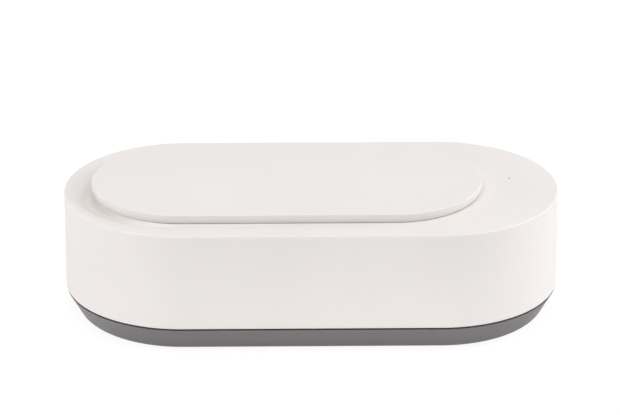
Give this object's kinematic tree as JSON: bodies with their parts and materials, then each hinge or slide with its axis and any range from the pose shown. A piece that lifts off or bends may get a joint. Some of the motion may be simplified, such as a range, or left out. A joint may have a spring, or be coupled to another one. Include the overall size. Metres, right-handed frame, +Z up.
{
  "type": "contact lens cleaner",
  "caption": "Long stadium-shaped ultrasonic bath for contact lenses: lift-off flat lid over a steel tank, finger scoop at one end, touch area and light at the other.",
  "frame": {"origin": "on the table under the middle of the housing", "axes": "+X runs along the housing to the touch end, +Y to the rear wall with the power socket, +Z up"},
  "size_m": [0.205, 0.099, 0.0576],
  "materials": {
    "housing_plastic": "satin gloss",
    "lid_plastic": "fine satin",
    "liner_plastic": "fine satin",
    "tray_plastic": "satin",
    "frame_plastic": "plain",
    "foot_rubber": "matte",
    "seal_rubber": "matte",
    "screw_steel": "zinc plated",
    "tank_steel": "drawn and brushed",
    "epoxy": "cast",
    "piezo_ceramic": "fired, silvered faces",
    "board_laminate": "solder mask",
    "sink_aluminium": "extruded",
    "chip_plastic": "moulded",
    "ferrite": "sintered",
    "enamelled_wire": "enamelled",
    "capacitor_sleeve": "shrunk sleeve",
    "connector_plastic": "moulded",
    "pad_foam": "conductive foam",
    "led_resin": "clear cast",
    "light_pipe_acrylic": "polished",
    "socket_plastic": "moulded",
    "pin_metal": "plated",
    "nut_brass": "nickel flash",
    "lead_insulation": "extruded",
    "basket_plastic": "moulded",
    "cap_plastic": "moulded"
  },
  "bodies": {
    "housing": {"body_shell": "housing_plastic", "base_tray": "tray_plastic", "rubber_feet": "foot_rubber", "base_screws": "screw_steel", "tank": "tank_steel", "tank_gasket": "seal_rubber", "clamp_frame": "frame_plastic", "clamp_screws": "screw_steel", "bond_pad": "epoxy", "piezo_disc": "piezo_ceramic", "main_board": "board_laminate", "board_screws": "screw_steel", "heat_sink": "sink_aluminium", "power_transistors": "chip_plastic", "transformer_core": "ferrite", "transformer_winding": "enamelled_wire", "filter_capacitors": "capacitor_sleeve", "drum_inductor": "ferrite", "controller_chip": "chip_plastic", "board_connectors": "connector_plastic", "control_board": "board_laminate", "control_screws": "screw_steel", "touch_pad": "pad_foam", "indicator_led": "led_resin", "light_pipe": "light_pipe_acrylic", "power_socket": "socket_plastic", "socket_pin": "pin_metal", "socket_nut": "nut_brass", "piezo_leads": "lead_insulation", "socket_leads": "lead_insulation", "control_lead": "lead_insulation"},
    "lid": {"lid_cover": "lid_plastic", "lid_liner": "liner_plastic", "lid_seal": "seal_rubber"},
    "basket": {"lens_basket": "basket_plastic", "cap_pins": "pin_metal"},
    "cap_left": {"lens_cap_left": "cap_plastic"},
    "cap_right": {"lens_cap_right": "cap_plastic"}
  },
  "joints": [
    {"name": "lid_lift", "type": "slide", "parent": "housing", "child": "lid", "axis": [0, 0, 1], "range_m": [0, 0.08]},
    {"name": "basket_lift", "type": "slide", "parent": "housing", "child": "basket", "axis": [0, 0, 1], "range_m": [0, 0.04]},
    {"name": "cap_left_hinge", "type": "hinge", "parent": "basket", "child": "cap_left", "pos_m": [-0.026, 0.0113, 0.0304], "axis": [-1, 0, 0], "range_deg": [0, 105]},
    {"name": "cap_right_hinge", "type": "hinge", "parent": "basket", "child": "cap_right", "pos_m": [0.006, 0.0113, 0.0304], "axis": [-1, 0, 0], "range_deg": [0, 105]}
  ],
  "couplings": [
    {"joint": "basket_lift", "follows": "lid_lift", "ratio": 0.5}
  ]
}
